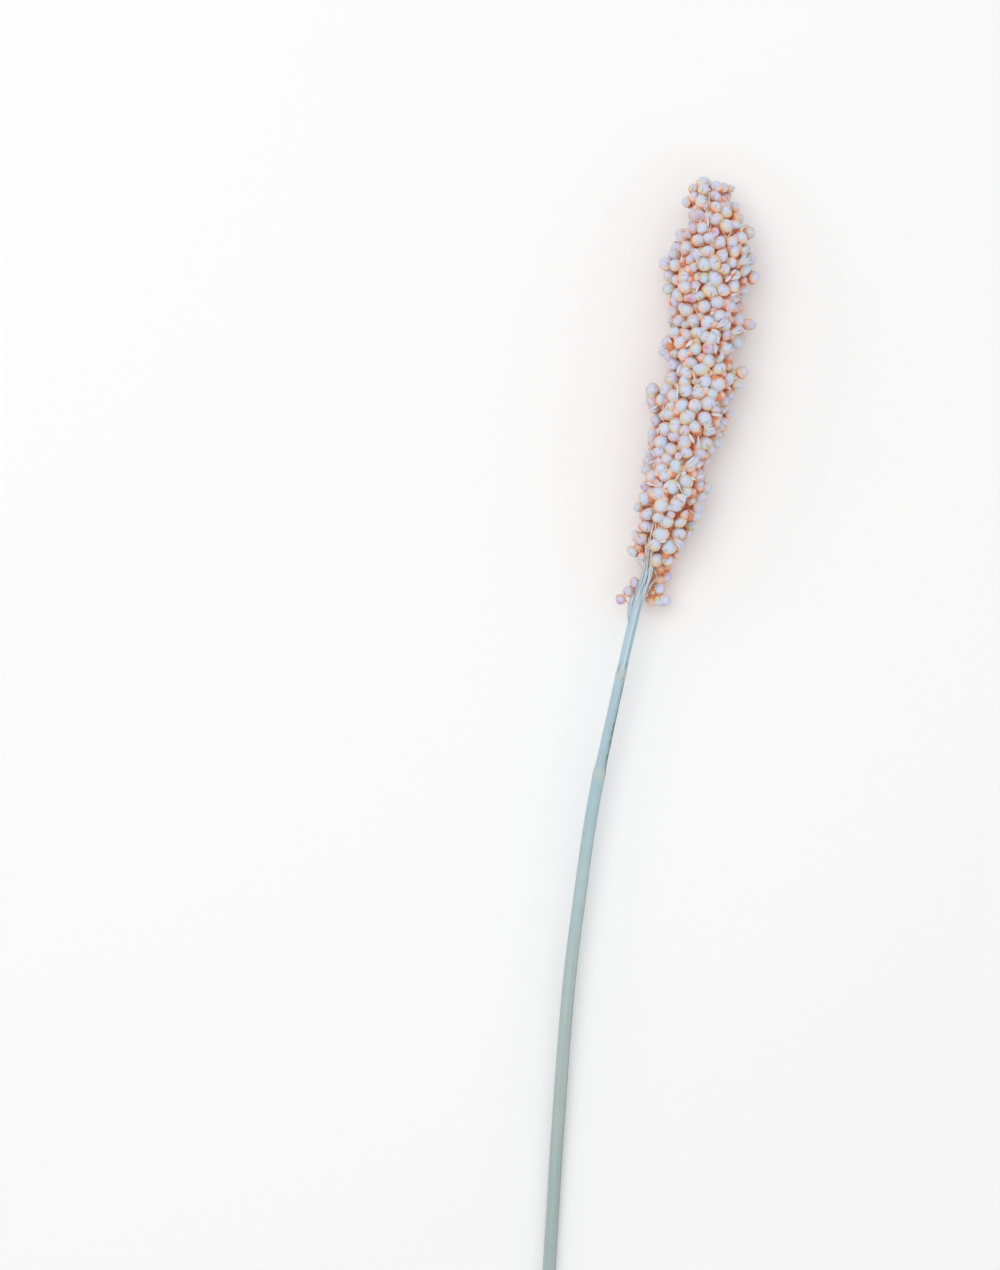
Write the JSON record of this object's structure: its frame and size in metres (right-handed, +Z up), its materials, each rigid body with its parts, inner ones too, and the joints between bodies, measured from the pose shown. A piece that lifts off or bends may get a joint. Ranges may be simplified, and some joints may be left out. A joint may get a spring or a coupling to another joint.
{
  "type": "sorghum seed head",
  "caption": "Dried sorghum seed head on its cut stem, lying on its side: a long dense head of round husked grains, with small loose sprays below it.",
  "frame": {"origin": "bottom centre of the part's box, on the surface it lies on", "axes": "+Y along the stalk from its cut end to the tip of the head, +Z up from the surface it lies on, +X to the right as seen from above with the tip away from the viewer"},
  "size_m": [0.0878, 0.4684, 0.0318],
  "materials": {
    "stem_skin": "matt dried stalk, pale blue-green",
    "grain_husk": "matt dry husks, pink at the base and bluish white at the tip"
  },
  "bodies": {
    "root": {"stem": "stem_skin", "head": "grain_husk", "low_spray_left": "grain_husk", "low_spray_right": "grain_husk", "low_spray_back": "grain_husk"}
  },
  "joints": []
}
